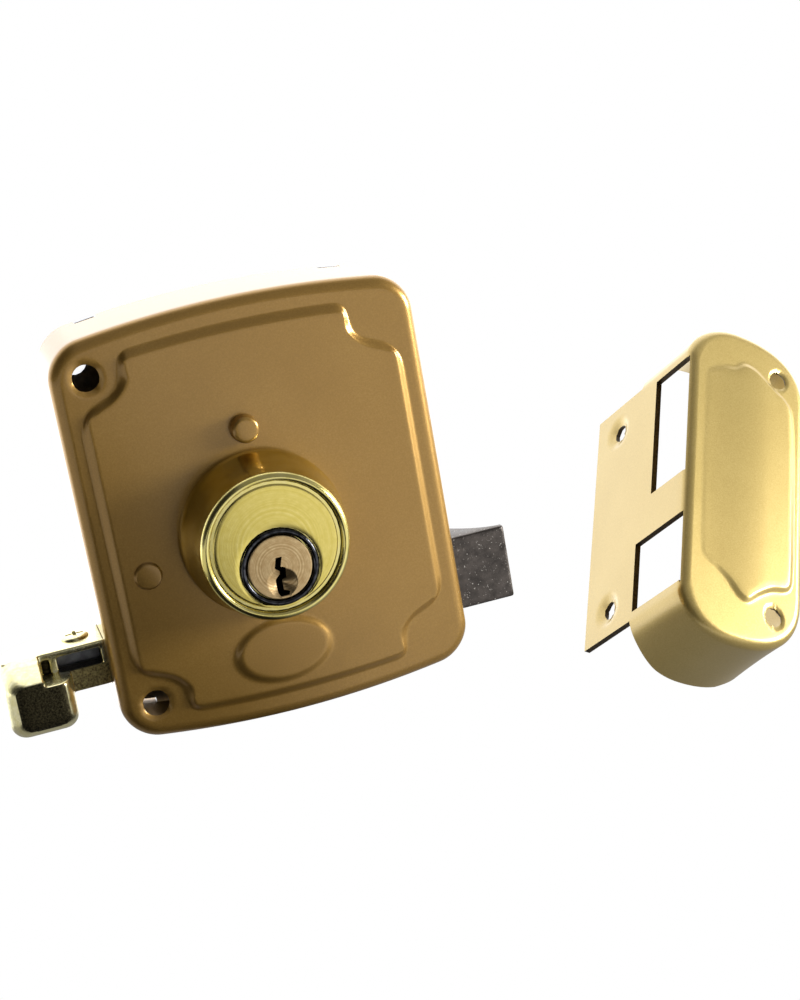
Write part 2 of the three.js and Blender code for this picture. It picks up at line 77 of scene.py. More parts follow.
# Ways through the side walls: side of the case, lowest and highest z, front and back y.
WAYS = [
    (1, -33.9, -17.2, -15.4, -2.6),
    (1, -4.4, 24.9, -18.4, -7.0),
    (-1, -30.4, -20.1, -15.4, -3.6),
]
# Slots for the plate's tabs in the crowned walls: the x each spans, and the y they start at.
TABS = [(-28.35, -23.65), (23.25, 27.95)]
TAB_FRONT = -3.0
KEEPER = dict(width=32.4, crown=41.3, plate=31.7, depth=22.0, flange=42.0, bend=2.2, sheet=1.4)
# Windows in the keeper's side: lowest and highest z, and the y where each ends. They begin at
# WINDOW_FRONT.
KEEPER_WINDOWS = [(-0.9, 30.2, 15.4), (-29.8, -12.0, 21.1)]
WINDOW_FRONT = 1.2
# Holes in the keeper's front as x, z and radius, and in its flange as y, z and radius.
KEEPER_FIXINGS = [(24.4, 31.7, 2.2), (24.4, -31.7, 2.2)]
FLANGE_FIXINGS = [(32.5, 24.5, 2.2), (32.5, -24.5, 2.2)]
# The keeper's corner when square to the case, and the turn about the pivot to where it lies.
KEEPER_SQUARE = Vector((83.2, -22.2, -4.6))
KEEPER_PIVOT = Vector((74.8, -16.3, -48.1))
KEEPER_TURN = Matrix.Rotation(math.radians(49.5), 3, Vector((-0.755, 0.614, 0.228)).normalized())

# ---- how finely the meshes are drawn ---------------------------------------------------
SKIN_COLUMNS = 480
PANEL_ROWS = 44
ROUND = 160
KEYWAY_SIDE = 120


# ---- camera --------------------------------------------------------------------------
def make_camera():
    """A long lens, above and to the left of the case, tipped clockwise."""
    right = Vector((0.948, -0.268, -0.169)).normalized()
    back = -Vector((0.217, 0.938, -0.271)).normalized()
    up = back.cross(right).normalized()
    turn = Matrix((up.cross(back), up, back)).transposed().to_4x4()
    lens = bpy.data.cameras.new("camera")
    lens.sensor_fit = "HORIZONTAL"
    lens.sensor_width = 36.0
    lens.lens = 93.0
    lens.clip_start = 0.01
    lens.clip_end = 100.0
    camera = bpy.data.objects.new("camera", lens)
    camera.matrix_world = Matrix.Translation((-0.0646, -0.4196, 0.1102)) @ turn
    bpy.context.collection.objects.link(camera)
    bpy.context.scene.camera = camera


# ---- colours and nodes ---------------------------------------------------------------
def colour(code):
    """An sRGB hex colour as linear red, green, blue and alpha."""
    parts = [int(code[i : i + 2], 16) / 255 for i in (0, 2, 4)]
    line = [p / 12.92 if p <= 0.04045 else ((p + 0.055) / 1.055) ** 2.4 for p in parts]
    return (*line, 1.0)


def node(tree, kind, inputs=None, **settings):
    """Add one node: settings are its properties, inputs its values or the sockets that feed it."""
    made = tree.nodes.new(kind)
    for name, value in settings.items():
        setattr(made, name, value)
    for name, value in (inputs or {}).items():
        if isinstance(value, bpy.types.NodeSocket):
            tree.links.new(value, made.inputs[name])
        else:
            made.inputs[name].default_value = value
    return made


def blank_material(name, **values):
    """A material with one Principled shader; values go straight to its sockets."""
    material = bpy.data.materials.new(name)
    material.use_nodes = True
    shader = material.node_tree.nodes["Principled BSDF"]
    for key, value in values.items():
        shader.inputs[key.replace("_", " ").title()].default_value = value
    return material, material.node_tree, shader


def feed(tree, shader, **sockets):
    """Link each of these sockets to the shader's input of that name."""
    for key, socket in sockets.items():
        tree.links.new(socket, shader.inputs[key.replace("_", " ").title()])


def ramp(tree, fac, stops):
    """A colour ramp through (place, hex colour) stops."""
    made = node(tree, "ShaderNodeValToRGB", {"Fac": fac})
    elements = made.color_ramp.elements
    while len(elements) < len(stops):
        elements.new(0.5)
    for element, (place, code) in zip(elements, stops):
        element.position = place
        element.color = colour(code)
    return made.outputs["Color"]


def noise(tree, size, detail=2.0, roughness=0.5, stretch=(1, 1, 1)):
    """Noise whose lumps are about size mm across, stretched along the axes."""
    place = node(tree, "ShaderNodeTexCoord").outputs["Object"]
    scale = [s / (size * MM) for s in stretch]
    placed = node(tree, "ShaderNodeMapping", {"Vector": place, "Scale": scale}).outputs["Vector"]
    inputs = {"Vector": placed, "Scale": 1.0, "Detail": detail, "Roughness": roughness}
    return node(tree, "ShaderNodeTexNoise", inputs).outputs["Fac"]


def bump(tree, height, depth, under=None):
    """A bump whose full height is depth mm, over the normal under it if there is one."""
    inputs = {"Height": height, "Distance": depth * MM, "Strength": 1.0}
    if under is not None:
        inputs["Normal"] = under
    return node(tree, "ShaderNodeBump", inputs).outputs["Normal"]


def spread(tree, value, low, high):
    """A 0 to 1 value spread over low to high."""
    inputs = {"Value": value, "To Min": low, "To Max": high}
    return node(tree, "ShaderNodeMapRange", inputs).outputs["Result"]


def maths(tree, operation, first, second):
    """The result of one operation on two values or sockets."""
    return node(tree, "ShaderNodeMath", {0: first, 1: second}, operation=operation).outputs[0]


# ---- materials -----------------------------------------------------------------------
def bronze_enamel(name, stops):
    """Gold-bronze stoving enamel on pressed steel: fine flake, faint orange peel, a soft gloss."""
    material, tree, shader = blank_material(
        name, metallic=0.6, roughness=0.34, coat_weight=0.6, coat_roughness=0.14
    )
    flake = noise(tree, 0.35, 3.0, 0.7)
    cloud = noise(tree, 14.0, 2.0)
    mixed = maths(tree, "ADD", spread(tree, flake, 0.2, 0.8), spread(tree, cloud, -0.1, 0.1))
    paint = ramp(tree, mixed, list(zip((0.25, 0.5, 0.8), stops)))
    feed(tree, shader, base_color=paint)
    feed(tree, shader, roughness=spread(tree, flake, 0.28, 0.42))
    peel = bump(tree, noise(tree, 1.6, 1.0), 0.012)
    feed(tree, shader, normal=bump(tree, flake, 0.006, under=peel))
    return material


def sheared_edge():
    """The cut edge of the sheet, thinly painted: dark, torn steel."""
    material, tree, shader = blank_material("sheared_steel_edge", metallic=0.7, roughness=0.55)
    grain = noise(tree, 0.5, 3.0, 0.6, (1, 0.3, 1))
    feed(tree, shader, base_color=ramp(tree, grain, [(0.3, "2E271C"), (0.7, "5B4A2E")]))
    feed(tree, shader, normal=bump(tree, grain, 0.03))
    return material


def polished_brass():
    """Turned, polished and lacquered brass: bright greenish yellow, nearly a mirror."""
    material, tree, shader = blank_material(
        "lacquered_brass", metallic=1.0, roughness=0.16, coat_weight=0.4, coat_roughness=0.08
    )
    haze = noise(tree, 3.0, 3.0, 0.6)
    feed(tree, shader, base_color=ramp(tree, haze, [(0.3, "E4D478"), (0.7, "EEE096")]))
    feed(tree, shader, roughness=spread(tree, haze, 0.16, 0.26))
    feed(tree, shader, normal=bump(tree, noise(tree, 0.8, 1.0), 0.004))
    return material


def turned_brass(name, centre, stops, pitch, depth, rough):
    """Brass faced on a lathe: fine rings about the axis through centre, along Y."""
    material, tree, shader = blank_material(name, metallic=1.0, roughness=rough)
    place = node(tree, "ShaderNodeTexCoord").outputs["Object"]
    shift = (-centre[0] * MM, 0.0, -centre[1] * MM)
    inputs = {"Vector": place, "Location": shift, "Scale": (1.0, 0.0, 1.0)}
    flat = node(tree, "ShaderNodeMapping", inputs).outputs["Vector"]
    radius = node(tree, "ShaderNodeVectorMath", {0: flat}, operation="LENGTH").outputs["Value"]
    inputs = {"W": radius, "Scale": 1 / (pitch * MM)}
    rings = node(tree, "ShaderNodeTexNoise", inputs, noise_dimensions="1D")
    mottle = noise(tree, 1.2, 3.0, 0.6)
    inputs = {0: rings.outputs["Fac"], 1: mottle, 2: 0.25}
    mixed = node(tree, "ShaderNodeMath", inputs, operation="MULTIPLY_ADD")
    feed(tree, shader, base_color=ramp(tree, mixed.outputs[0], stops))
    feed(tree, shader, normal=bump(tree, rings.outputs["Fac"], depth))
    return material


def gilt_casting():
    """Zinc casting, tumbled and brass plated: pale greenish gold with a softly uneven skin."""
    material, tree, shader = blank_material("gilt_zinc_casting", metallic=1.0, roughness=0.22)
    skin = noise(tree, 1.4, 4.0, 0.6)
    feed(tree, shader, base_color=ramp(tree, skin, [(0.3, "E6DCA2"), (0.7, "F3ECC2")]))
    feed(tree, shader, roughness=spread(tree, skin, 0.14, 0.32))
    grain = bump(tree, noise(tree, 0.5, 4.0, 0.7), 0.03)
    feed(tree, shader, normal=bump(tree, noise(tree, 4.0, 1.0), 0.05, under=grain))
    return material


def rough_gilt(name, metallic, dark, light):
    """Coarse, dull sand-like grain under the same plate. The sandy copy is the casting's untouched
    skin; the near-black copy is painted shade.
    """
    material, tree, shader = blank_material(name, metallic=metallic, roughness=0.5)
    grain = noise(tree, 0.45, 4.0, 0.75)
    feed(tree, shader, base_color=ramp(tree, grain, [(0.35, dark), (0.65, light)]))
    feed(tree, shader, normal=bump(tree, grain, 0.12))
    return material


def painted_keyway_shade():
    """The keyway's unpolished walls, painted near black as the shade deep inside the keyway."""
    material, tree, shader = blank_material("keyway_painted_shade", metallic=0.3, roughness=0.6)
    shade_mottle = noise(tree, 0.8, 3.0, 0.6)
    feed(tree, shader, base_color=ramp(tree, shade_mottle, [(0.3, "0B0907"), (0.7, "1F1811")]))
    return material


def bolt_casting():
    """Nickel-plated zinc bolt, ground on its face: dark, blotched, with bright worn specks."""
    material, tree, shader = blank_material("nickel_zinc_bolt", metallic=1.0, roughness=0.4)
    blotch = noise(tree, 2.6, 4.0, 0.65)
    specks = noise(tree, 0.45, 2.0, 0.6)
    bright = node(tree, "ShaderNodeMapRange", {"Value": specks, "From Min": 0.66, "From Max": 0.74})
    dull = ramp(tree, blotch, [(0.3, "45413E"), (0.7, "6A635E")])
    worn = node(
        tree, "ShaderNodeMix", {"Factor": bright.outputs[0], "A": dull, "B": colour("D8D2C8")},
        data_type="RGBA",
    )
    feed(tree, shader, base_color=worn.outputs["Result"])
    feed(tree, shader, roughness=spread(tree, blotch, 0.28, 0.5))
    pits = bump(tree, noise(tree, 0.7, 4.0, 0.7), 0.06)
    feed(tree, shader, normal=bump(tree, blotch, 0.1, under=pits))
    return material


def dark_steel():
    """Blackened, burnished steel ring: near black with sharp reflections."""
    material, tree, shader = blank_material("burnished_black_steel", metallic=1.0, roughness=0.16)
    wear = noise(tree, 1.0, 3.0, 0.6)
    feed(tree, shader, base_color=ramp(tree, wear, [(0.35, "29292C"), (0.75, "5A5B60")]))
    feed(tree, shader, roughness=spread(tree, wear, 0.1, 0.25))
    return material


def zinc_steel():
    """Zinc-plated steel plate, clear passivated: grey with a faint spangle and rolling lines."""
    material, tree, shader = blank_material("zinc_plated_steel", metallic=1.0, roughness=0.35)
    spangle = noise(tree, 2.0, 3.0, 0.6)
    rolled = noise(tree, 0.5, 2.0, 0.5, (0.05, 1, 1))
    feed(tree, shader, base_color=ramp(tree, spangle, [(0.3, "8E9096"), (0.7, "B9BBC0")]))
    feed(tree, shader, roughness=spread(tree, rolled, 0.26, 0.46))
    feed(tree, shader, normal=bump(tree, rolled, 0.01))
    return material


def spring_steel():
    """Drawn music wire: dark grey, smooth, slightly oily."""
    material, tree, shader = blank_material("spring_wire", metallic=1.0, roughness=0.3)
    drawn = noise(tree, 0.6, 2.0)
    feed(tree, shader, base_color=ramp(tree, drawn, [(0.3, "5C5D62"), (0.7, "85868C")]))
    return material


# ---- curves --------------------------------------------------------------------------
def bezier(*points, count=24):
    """Points along a Bezier curve, without its end: the Bernstein sum of its control points."""
    t = np.linspace(0.0, 1.0, count, endpoint=False)[:, None]
    k = len(points) - 1
    weights = [math.comb(k, i) * t**i * (1 - t) ** (k - i) for i in range(k + 1)]
    return sum(w * np.array(p, float) for w, p in zip(weights, points))


def through(points, count=8, closed=False):
    """A Catmull-Rom curve through the points, count steps between each two."""
    p = np.array(points, float)
    n = len(p)
    t = np.linspace(0.0, 1.0, count, endpoint=False)[None, :, None]
    i = np.arange(n if closed else n - 1)
    near = [i + k for k in (-1, 0, 1, 2)]
    a, b, c, d = (p[k % n if closed else np.clip(k, 0, n - 1)][:, None] for k in near)
    curve = 2 * b + (c - a) * t
    curve = curve + (2 * a - 5 * b + 4 * c - d) * t**2 + (3 * b - a - 3 * c + d) * t**3
    curve = 0.5 * curve.reshape(-1, p.shape[1])
    return curve if closed else np.vstack([curve, p[-1:]])


def four_corners(quarter):
    """A closed outline from its upper right quarter, mirrored in both axes."""
    right = np.vstack([quarter, quarter[::-1] * (1, -1)])
    return np.vstack([right, right[::-1] * (-1, 1)])


def case_outline(inset=0.0):
    """Straight sides, a parabolic crown above and below, and rounded corners."""
    side, top, corner = (CASE[k] - inset for k in ("side", "crown", "corner"))
    along = side - corner
    rise = top - CASE["drop"] * (along / side) ** 2
    slope = 2 * CASE["drop"] * along / side**2
    tip = rise - slope * corner
    pull = 0.55 * corner
    crown = bezier((0, top), (along / 2, top), (along, rise))
    round_ = bezier((along, rise), (along + pull, rise - slope * pull), (side, tip - corner + pull),
                    (side, tip - corner))
    return four_corners(np.vstack([crown, round_, [(side, tip - corner)]]))


def panel_outline(inset=0.0):
    """The raised panel: crowned edges with an S-curved step at each corner."""
    side, top = PANEL["side"] - inset, PANEL["crown"] - inset
    parts = [
        bezier((0, top), (10, top), (20.4, top - 0.9)),
        bezier((20.4, top - 0.9), (24.2, top - 1.2), (22.8 - inset, 35), (23.9 - inset, 32)),
        bezier((23.9 - inset, 32), (25, 29.4 - inset), (28, 29.2 - inset), (30, 28 - inset)),
        bezier((30, 28 - inset), (32, 26.8), (side, 25), (side, 22)),
        [(side, 22)],
    ]
    return four_corners(np.vstack(parts))


def keeper_outline(inset=0.0):
    """Flat on the plate's side (x = 0), domed above and below, straight on the far side."""
    crown, side, low = (KEEPER[k] - inset for k in ("crown", "width", "plate"))
    upper = np.vstack([
        bezier((inset, low), (inset + 1, low + 5), (6, crown), (13.5, crown), count=40),
        bezier((13.5, crown), (25, crown), (side, 36.5 - inset), (side, 26), count=40),
        [(side, 26)],
    ])
    return np.vstack([upper, upper[::-1] * (1, -1)])


# Points that the keeper's raised panel passes through, from its upper corner round.
KEEPER_PANEL = [
    (4.6, 24.0), (5.0, 27.2), (8.6, 29.4), (12.2, 30.5), (14.8, 32.3), (17.6, 31.9), (20.5, 30.1),
    (23.4, 28.1), (26.3, 26.2), (28.0, 22.6), (28.6, 10.0), (28.7, -8.0), (28.7, -18.6),
    (27.9, -23.6), (23.4, -25.3), (19.9, -27.6), (17.3, -29.8), (15.0, -29.2), (12.4, -26.5),
    (9.6, -24.3), (6.9, -23.0), (5.0, -20.4), (4.6, -10.0), (4.5, 8.0),
]


def keeper_panel(inset=0.0):
    """A smooth closed curve through the panel's points, pulled in by inset."""
    p = through(KEEPER_PANEL, 6, closed=True)
    ahead, behind = np.roll(p, -1, 0), np.roll(p, 1, 0)
    run = ahead - behind
    normal = np.stack([run[:, 1], -run[:, 0]], 1) / np.linalg.norm(run, axis=1)[:, None]
    middle = p.mean(0)
    if np.einsum("ij,ij->", normal, p - middle) < 0:
        normal = -normal
    return p - inset * normal


def ring(outline, angles, centre, stretch=(1.0, 1.0)):
    """Where rays from the centre, at these angles in stretched space, meet the outline."""
    local = (outline - centre) / stretch
    bearing = np.arctan2(local[:, 1], local[:, 0])
    return np.stack([np.interp(angles, bearing, outline[:, k], period=TAU) for k in (0, 1)], 1)


def bearings(count, centre, stretch, marks):
    """Even angles round the centre, with the nearest one moved to each marked point."""
    angles = np.linspace(-math.pi, math.pi, count, endpoint=False) + 0.001
    for x, z in marks:
        mark = math.atan2((z - centre[1]) / stretch[1], (x - centre[0]) / stretch[0])
        away = np.abs(np.angle(np.exp(1j * (angles - mark))))
        angles[np.argmin(away)] = mark
    return angles


def smooth(value):
    """0 below 0, 1 above 1, and 3t^2 - 2t^3 between."""
    t = np.clip(value, 0.0, 1.0)
    return t * t * (3 - 2 * t)


# ---- meshes --------------------------------------------------------------------------
def grid_faces(rows, columns, around=False):
    """The quads of a rows by columns grid; around joins its last column to its first."""
    r = np.arange(rows - 1)[:, None] * columns
    c = np.arange(columns if around else columns - 1)[None, :]
    n = (c + 1) % columns
    return np.stack([r + c, r + n, r + columns + n, r + columns + c], -1).reshape(-1, 4)


def outward(points, faces, inside):
    """The faces, all turned round together if they look towards the point inside."""
    a, b, c = (points[faces[:, i]] for i in (0, 1, 2))
    away = np.einsum("ij,ij->", np.cross(b - a, c - a), a - np.array(inside, float))
    return faces if away > 0 else faces[:, ::-1]


def punch(points, faces, flat, centre, radius, among):
    """A round hole: drops the faces whose middle is inside the circle and draws the edge to it.

    flat gives the two axes of the circle's plane, among the vertices it may touch.
    """
    away = points[:, flat] - centre
    middle = points[faces][:, :, flat].mean(1) - centre
    inside = (np.linalg.norm(middle, axis=1) < radius) & among[faces].all(1)
    gone, kept = faces[inside], faces[~inside]
    rim = np.intersect1d(gone, kept)
    length = np.linalg.norm(away[rim], axis=1)[:, None]
    points[np.ix_(rim, flat)] = centre + away[rim] * radius / length
    return kept


def put(name, points, faces, body, material, nodes=(), extra=(), sharp=35.0, thick=0.0,
        rim=0):
    """Make a piece from points in mm; extra holds faces of other lengths.

    thick gives a sheet its wall, inwards, with the rim in material number rim. The mesh is then
    settled and its edges sharper than the angle are marked.
    """
    used = np.unique(np.concatenate([np.ravel(faces)] + [np.ravel(f) for f in extra]))
    order = np.full(len(points), -1)
    order[used] = np.arange(len(used))
    mesh = bpy.data.meshes.new(name)
    lists = order[faces].tolist() + [order[np.array(f)].tolist() for f in extra]
    mesh.from_pydata((points[used] * MM).tolist(), [], lists)
    mesh.shade_smooth()
    piece = bpy.data.objects.new(name, mesh)
    bpy.context.collection.objects.link(piece)
    for one in material if isinstance(material, (list, tuple)) else [material]:
        mesh.materials.append(one)
    if thick:
        wall = piece.modifiers.new("wall", "SOLIDIFY")
        wall.thickness = thick * MM
        wall.offset = -1.0
        wall.material_offset_rim = rim
    settle(piece, sharp)
    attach(piece, body)
    if nodes:
        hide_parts(*nodes)
    return piece


def settle(piece, sharp):
    """Apply the piece's modifiers and mark its edges sharper than the angle in degrees."""
    if piece.modifiers:
        graph = bpy.context.evaluated_depsgraph_get()
        made = bpy.data.meshes.new_from_object(piece.evaluated_get(graph))
        piece.modifiers.clear()
        piece.data = made
    piece.data.shade_smooth()
    piece.data.set_sharp_from_angle(angle=math.radians(sharp))


def volume(points, faces):
    """Six times the volume inside closed quads, negative where they face inwards."""
    a, b, c, d = (points[faces[:, i]] for i in range(4))
    return np.einsum("ij,ij->", a, np.cross(b, c)) + np.einsum("ij,ij->", a, np.cross(c, d))


def stacked_circles(circles):
    """A closed tube of circles (x, z, radius, y) across Y, its last joined to its first."""
    x, z, r, y = (column[:, None] for column in np.array(circles, float).T)
    turn = np.linspace(0, TAU, ROUND, endpoint=False)
    x, z = x + r * np.cos(turn), z + r * np.sin(turn)
    points = np.stack([x, np.broadcast_to(y, x.shape), z], -1).reshape(-1, 3)
    last = (len(circles) - 1) * ROUND
    c = np.arange(ROUND)
    n = (c + 1) % ROUND
    joint = np.stack([last + c, last + n, n, c], -1)
    faces = np.vstack([grid_faces(len(circles), ROUND, around=True), joint])
    if volume(points, faces) < 0:
        faces = faces[:, ::-1]
    return points, faces


def turned(name, profile, centre, material, nodes):
    """A piece of the case: a profile of (radius, y) turned about the line along Y at the centre."""
    points, faces = stacked_circles([(*centre, r, y) for r, y in profile])
    return put(name, points, faces, "lock_case", material, nodes)


def rounded(x0, x1, y0, y1, r):
    """A rectangle with its corners rounded to r, as points anticlockwise."""
    t = np.linspace(0, math.pi / 2, 7)
    arc = np.stack([np.cos(t), np.sin(t)], 1) * r
    corners = [(x1 - r, y1 - r), (x0 + r, y1 - r), (x0 + r, y0 + r), (x1 - r, y0 + r)]
    parts = []
    for k, (cx, cy) in enumerate(corners):
        c, s = round(math.cos(k * math.pi / 2)), round(math.sin(k * math.pi / 2))
        parts.append(arc @ np.array([[c, s], [-s, c]]) + (cx, cy))
    return np.vstack(parts)


# ---- case and keeper -------------------------------------------------------------------
def dimples(plan, holes, deep, wide):
    """How far the sheet is drawn in round each hole: deep at its edge, fading over wide."""
    sunk = np.zeros(plan.shape[:2])
    for x, z, r in holes:
        near = np.hypot(plan[..., 0] - x, plan[..., 1] - z) - r
        sunk += deep * np.clip(1 - near / wide, 0, 1) ** 2
    return sunk


def cover_skin(paint):
    """The drawn cover: rings from the cylinder's hole out to the rim of the walls.

    Each ring is an outline met by rays from the cylinder's axis. Depth steps down smoothly across
    the panel's edge and up over the oval; the front edge is a quarter circle, the wall straight.
    """
    full = case_outline()
    marks = [(s * CASE["side"], z) for s, low, high, _, _ in WAYS for z in (low, high)]
    upper = full[full[:, 1] > 30]
    order = np.argsort(upper[:, 0])
    for x in np.ravel(TABS):
        z = np.interp(x, upper[order, 0], upper[order, 1])
        marks += [(x, z), (x, -z)]
    angles = bearings(SKIN_COLUMNS, CYLINDER, (1, 1), marks)
    hole = np.stack([np.cos(angles), np.sin(angles)], 1) * CYLINDER_HOLE + CYLINDER

    def at(outline):
        return ring(outline, angles, CYLINDER)

    rows, depth = [], []
    within = 1.6
    inner = at(panel_outline(within))
    for t in np.linspace(0, 1, PANEL_ROWS):
        rows.append(hole * (1 - t) + inner * t)
        depth.append(PANEL["front"])
    for t in np.linspace(0, 1, 9)[1:]:
        rows.append(at(panel_outline(within - PANEL["step"] * t)))
        depth.append(PANEL["front"] + (CASE["front"] - PANEL["front"]) * smooth(t))
    border, flat = rows[-1], at(case_outline(CASE["edge"]))
    for t in np.linspace(0, 1, 15)[1:]:
        rows.append(border * (1 - t) + flat * t)
        depth.append(CASE["front"])
    for t in np.linspace(0, math.pi / 2, 10)[1:]:
        rows.append(at(case_outline(CASE["edge"] * (1 - math.sin(t)))))
        depth.append(CASE["front"] + CASE["edge"] * (1 - math.cos(t)))
    wall = at(full)
    levels = [-18.4, -16.9, -15.4, -12.6, -9.8, -7.0, -5.3, -3.9, TAB_FRONT, -1.9, -0.9, 0.0]
    for y in levels:
        rows.append(wall)
        depth.append(y)
    plan = np.array(rows)
    y = np.broadcast_to(np.array(depth)[:, None], plan.shape[:2]).copy()
    across = (plan[..., 0] - OVAL["x"]) / OVAL["width"]
    along = (plan[..., 1] - OVAL["z"]) / OVAL["height"]
    inwards = (1 - np.hypot(across, along)) * OVAL["height"] / OVAL["roll"]
    on_panel = np.arange(len(rows))[:, None] < PANEL_ROWS
    y -= OVAL["rise"] * smooth(inwards + 0.5) * on_panel
    y += dimples(plan, FIXINGS, 0.45, 0.9) * (y < CASE["front"] + 0.1)
    points = np.stack([plan[..., 0], y, plan[..., 1]], -1).reshape(-1, 3)
    faces = grid_faces(len(rows), len(angles), around=True)
    among = points[:, 1] < CASE["front"] + 1.0
    for x, z, r in FIXINGS + [(x, z, POST_HOLE) for x, z, _ in POSTS]:
        faces = punch(points, faces, [0, 2], (x, z), r, among)
    middle = points[faces].mean(1)
    gone = np.zeros(len(faces), bool)
    for side, low, high, fore, aft in WAYS:
        gone |= (
            (middle[:, 0] * side > CASE["side"] - 1.5)
            & (middle[:, 2] > low) & (middle[:, 2] < high)
            & (middle[:, 1] > fore) & (middle[:, 1] < aft)
        )
    for x0, x1 in TABS:
        gone |= (
            (middle[:, 0] > x0) & (middle[:, 0] < x1) & (np.abs(middle[:, 2]) > 36)
            & (middle[:, 1] > TAB_FRONT)
        )
    faces = outward(points, faces[~gone], (0, 0, 0))
    return put(
        "cover_skin", points, faces, "lock_case", paint, ["cover_shell"],
        thick=CASE["wall"],
    )


def keeper_skin(paint, edge):
    """The pressed keeper: rings from the middle of its panel, over the bend and down its walls.

    On the plate's side the wall runs on past the box as the flange. Worked out square, then
    turned to where it lies.
    """
    centre, stretch = (16.0, 0.0), (16.0, 41.0)
    marks = [(0.0, z) for low, high, _ in KEEPER_WINDOWS for z in (low, high)]
    marks += [(0.0, s * KEEPER["plate"]) for s in (1, -1)]
    angles = bearings(SKIN_COLUMNS, centre, stretch, marks)

    def at(outline):
        return ring(outline, angles, centre, stretch)

    within = 0.9
    inner = at(keeper_panel(within))
    rows, height = [], []
    for t in np.linspace(0.04, 1, 16):
        rows.append(np.array(centre) * (1 - t) + inner * t)
        height.append(1.0)
    for t in np.linspace(0, 1, 9)[1:]:
        rows.append(at(keeper_panel(within - 2 * within * t)))
        height.append(1.0 - smooth(t))
    border, flat = rows[-1], at(keeper_outline(KEEPER["bend"]))
    for t in np.linspace(0, 1, 13)[1:]:
        rows.append(border * (1 - t) + flat * t)
        height.append(0.0)
    depth = [0.0] * len(rows)
    window = math.acos(1 - WINDOW_FRONT / KEEPER["bend"])
    bends = np.array([10, 20, 30, 40, 51, math.degrees(window), 72, 81, 90])
    for t in np.radians(bends):
        rows.append(at(keeper_outline(KEEPER["bend"] * (1 - math.sin(t)))))
        depth.append(KEEPER["bend"] * (1 - math.cos(t)))
        height.append(0.0)
    wall = at(keeper_outline())
    levels = [4.4, 6.6, 8.8, 11.0, 13.2, 15.4, 17.3, 19.2, 21.1, KEEPER["depth"]]
    levels += list(np.linspace(KEEPER["depth"], KEEPER["flange"], 21)[1:])
    for y in levels:
        rows.append(wall)
        depth.append(y)
        height.append(0.0)
    plan = np.array(rows)
    y = np.broadcast_to(np.array(depth)[:, None], plan.shape[:2]).copy()
    rise = 0.8 * smooth((plan[..., 0] - 2.0) / 20.0)
    y -= rise * np.array(height)[:, None]
    y += dimples(plan, KEEPER_FIXINGS, 0.4, 0.8) * (y < 0.05)
    x, z = plan[..., 0].copy(), plan[..., 1].copy()
    flare = smooth(x / 8.0) * np.clip(y / KEEPER["depth"], 0, 1) ** 2
    z *= 1 + 0.04 * flare
    for fy, fz, r in FLANGE_FIXINGS:
        near = np.hypot(y - fy, z - fz)
        x += 0.9 * np.clip((4.3 - near) / 2.1, 0, 1) * (x < 0.5) * (y > 24)
    points = np.stack([x, y, z], -1).reshape(-1, 3)
    faces = grid_faces(len(rows), len(angles), around=True)
    among = points[:, 1] < 1.0
    for hx, hz, r in KEEPER_FIXINGS:
        faces = punch(points, faces, [0, 2], (hx, hz), r, among)
    among = (points[:, 0] < 1.2) & (points[:, 1] > 24)
    for hy, hz, r in FLANGE_FIXINGS:
        faces = punch(points, faces, [1, 2], (hy, hz), r, among)
    middle = points[faces].mean(1)
    plate = (middle[:, 0] < 1.2) & (np.abs(middle[:, 2]) < KEEPER["plate"])
    gone = (middle[:, 1] > KEEPER["depth"]) & ~plate
    for low, high, back in KEEPER_WINDOWS:
        gone |= (
            plate & (middle[:, 2] > low) & (middle[:, 2] < high)
            & (middle[:, 1] > WINDOW_FRONT) & (middle[:, 1] < back)
        )
    faces = outward(points, faces[~gone], (16, 11, 0))
    cap = facing(points, list(range(len(angles))), -1)
    turn = np.array(KEEPER_TURN)
    points = (points + np.array(KEEPER_SQUARE - KEEPER_PIVOT)) @ turn.T + np.array(KEEPER_PIVOT)
    return put(
        "keeper_skin", points, faces, "keeper", [paint, edge], ["keeper"],
        extra=[cap], thick=KEEPER["sheet"], rim=1,
    )


def post_heads(paint):
    """Riveted post heads on the panel: a low drum with a rolled edge, over its shank."""
    for name, (x, z, head) in zip(("upper_post", "lower_post"), POSTS):
        base = PANEL["front"] - 0.02
        top = base - head
        roll = min(0.8, head * 0.8)
        arc = [
            (2.75 - roll + roll * math.cos(t), top + roll - roll * math.sin(t))
            for t in np.linspace(0, math.pi / 2, 7)
        ]
        profile = [(0.02, -1.9), (3.0, -1.9), (3.0, -21.7), (2.1, -21.7), (2.1, base), (2.9, base)]
        profile += arc + [(1.0, top - 0.03), (0.02, top - 0.04)]
        turned(f"{name}_head", profile, (x, z), paint, [name])


# ---- cylinder ------------------------------------------------------------------------
def cylinder_pieces(brass, face_brass, plug_brass, black):
    """The collar, the cylinder's round face, the black ring and the keyed plug."""
    outside = through([(17.0, -24.9), (16.9, -25.8), (16.4, -27.6), (15.9, -30.5), (15.5, -33.4),
                       (15.15, -35.2), (15.0, -36.0), (14.75, -36.5), (14.4, -36.85), (14.0, -37.0),
                       (13.65, -36.93), (13.4, -36.7), (13.25, -36.3)], 4)
    profile = [(13.25, -23.25), (16.8, -23.25), (17.0, -23.45)] + outside.tolist()
    turned("collar_turned", profile, CYLINDER, brass, ["cylinder_collar"])
    cylinder_face(face_brass)
    bead = [
        (7.32 - 0.58 * math.cos(t), -35.75 - 0.55 * math.sin(t))
        for t in np.linspace(0, math.pi, 12)
    ]
    profile = [(6.72, -35.0), *bead, (7.9, -34.7), (6.72, -34.7)]
    turned("bezel_turned", profile, PLUG, black, ["bezel_ring"])
    plug_face(plug_brass)


